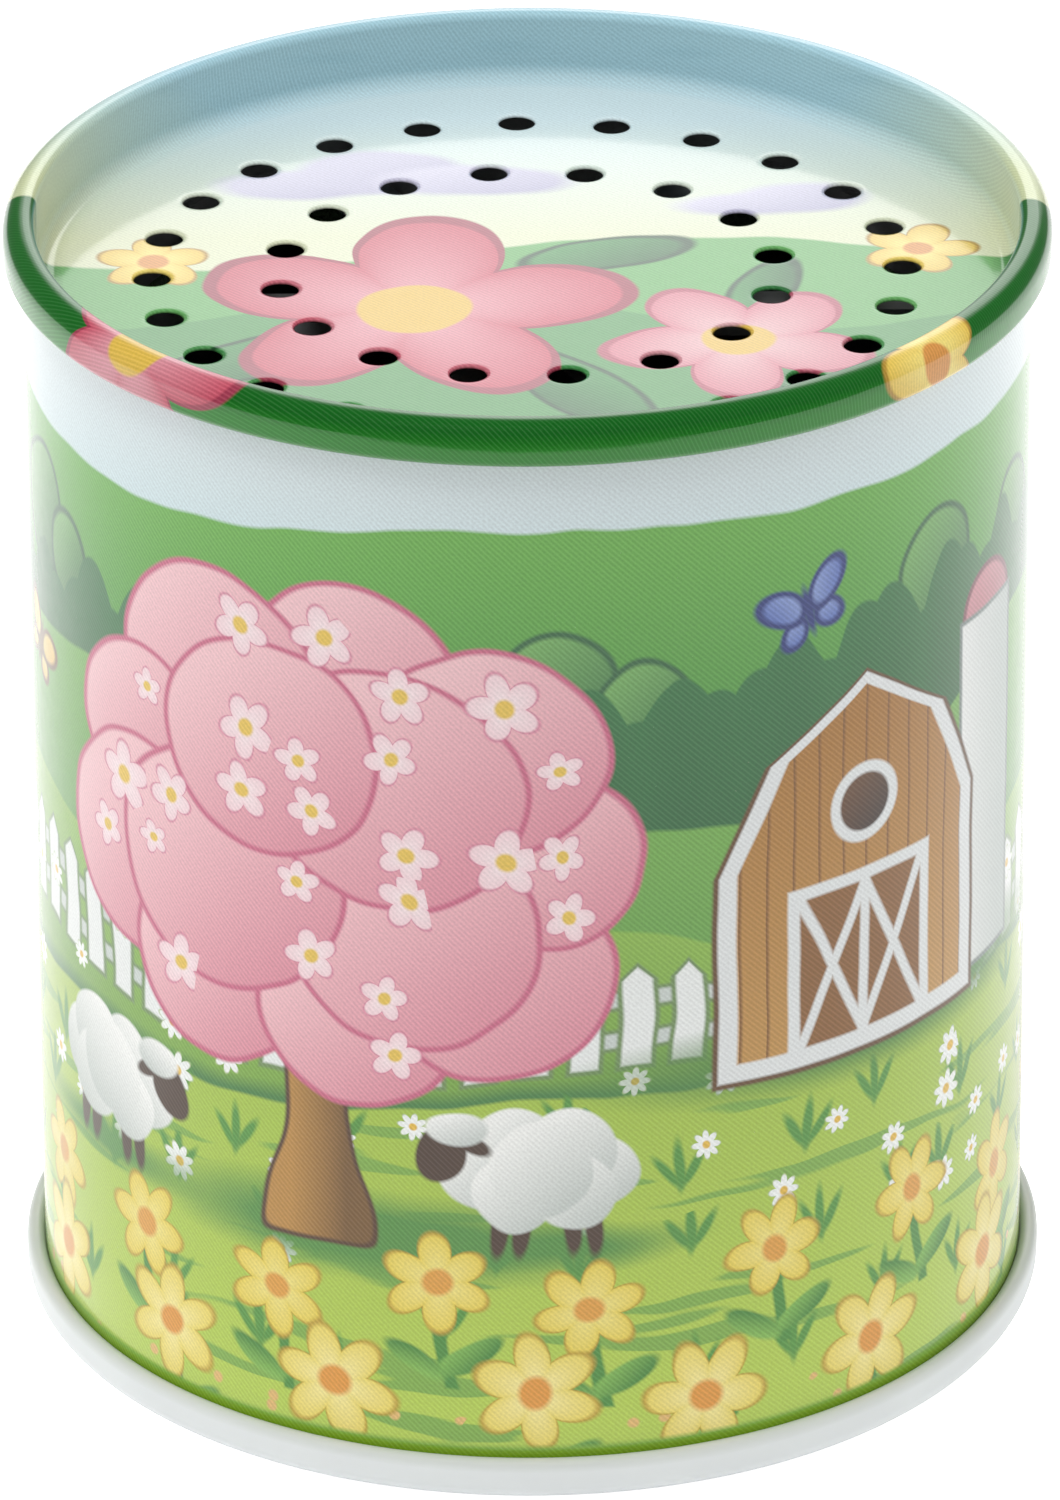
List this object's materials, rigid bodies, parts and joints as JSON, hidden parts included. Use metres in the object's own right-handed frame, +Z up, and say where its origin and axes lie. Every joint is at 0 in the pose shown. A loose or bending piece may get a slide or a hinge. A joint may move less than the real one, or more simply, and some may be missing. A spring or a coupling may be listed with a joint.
{
  "type": "animal sound box",
  "caption": "Printed tin can with rolled seams and a recessed perforated top; tilting it drops an inner weight onto a bellows that blows a reed for an animal call.",
  "frame": {"origin": "centre of the can's foot, on the surface that it stands on", "axes": "+Z up along the can's axis to the perforated top; -Y is the front of the print and +Y the lock seam"},
  "size_m": [0.06, 0.06, 0.068],
  "materials": {
    "printed_tinplate": "gloss",
    "printed_cover_tinplate": "gloss",
    "white_lacquered_tinplate": "satin",
    "grey_foam": "matte",
    "black_moulding": "satin",
    "grey_moulding": "satin",
    "green_felt": "matte",
    "ivory_moulding": "satin",
    "bellows_film": "satin",
    "white_moulding": "satin",
    "turned_steel": "satin",
    "spring_steel": "satin",
    "red_moulding": "satin",
    "reed_brass": "satin"
  },
  "bodies": {
    "can": {"can_body": "printed_tinplate", "top_cover": "printed_cover_tinplate", "bottom_cover": "white_lacquered_tinplate", "foam_pad": "grey_foam", "voice_base": "black_moulding", "voice_tube": "black_moulding", "voice_lid": "grey_moulding", "upper_felt": "green_felt", "lower_felt": "green_felt", "base_clamp": "ivory_moulding", "bellows": "bellows_film"},
    "weight": {"weight_carrier": "white_moulding", "weight_ring": "turned_steel", "weight_retainer": "spring_steel", "carrier_clamp": "ivory_moulding", "reed_tube": "red_moulding", "reed_plug": "red_moulding", "reed_shallot": "ivory_moulding", "reed_wedge": "ivory_moulding"},
    "reed": {"reed_tongue": "reed_brass"}
  },
  "joints": [
    {"name": "weight_drop", "type": "slide", "parent": "can", "child": "weight", "axis": [0, 0, 1], "range_m": [0, 0.0222], "deforming": ["bellows"]},
    {"name": "reed_flutter", "type": "hinge", "parent": "weight", "child": "reed", "pos_m": [0, -0.00022, 0.03143], "axis": [1, 0, 0], "range_deg": [-3, 3], "stiffness_Nm_per_rad": 0.0005}
  ]
}
